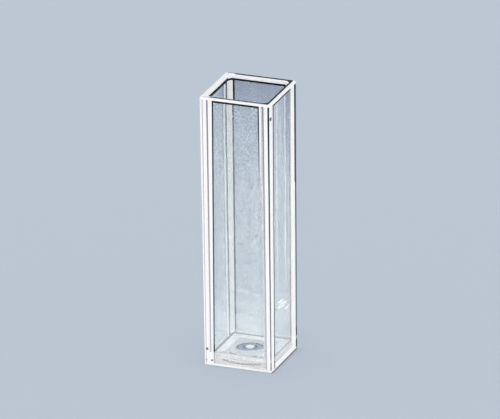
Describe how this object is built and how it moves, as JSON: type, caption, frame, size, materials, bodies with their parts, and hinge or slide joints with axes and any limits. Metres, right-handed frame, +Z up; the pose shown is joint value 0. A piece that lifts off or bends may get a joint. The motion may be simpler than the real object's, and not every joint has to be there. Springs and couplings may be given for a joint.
{
  "type": "square cuvette",
  "caption": "Clear open-topped square cuvette with drafted walls, rounded rim and a floor recessed underneath round its gate mark, for holding a liquid sample in a light beam.",
  "frame": {"origin": "centre of the base, on the surface that the foot rests on", "axes": "+Z up the cavity to the mouth, X and Y square to the four windows"},
  "size_m": [0.0124, 0.0124, 0.0475],
  "materials": {
    "clear_plastic": "clear polystyrene, moulded against polished steel"
  },
  "bodies": {
    "root": {"cuvette_body": "clear_plastic"}
  },
  "joints": []
}
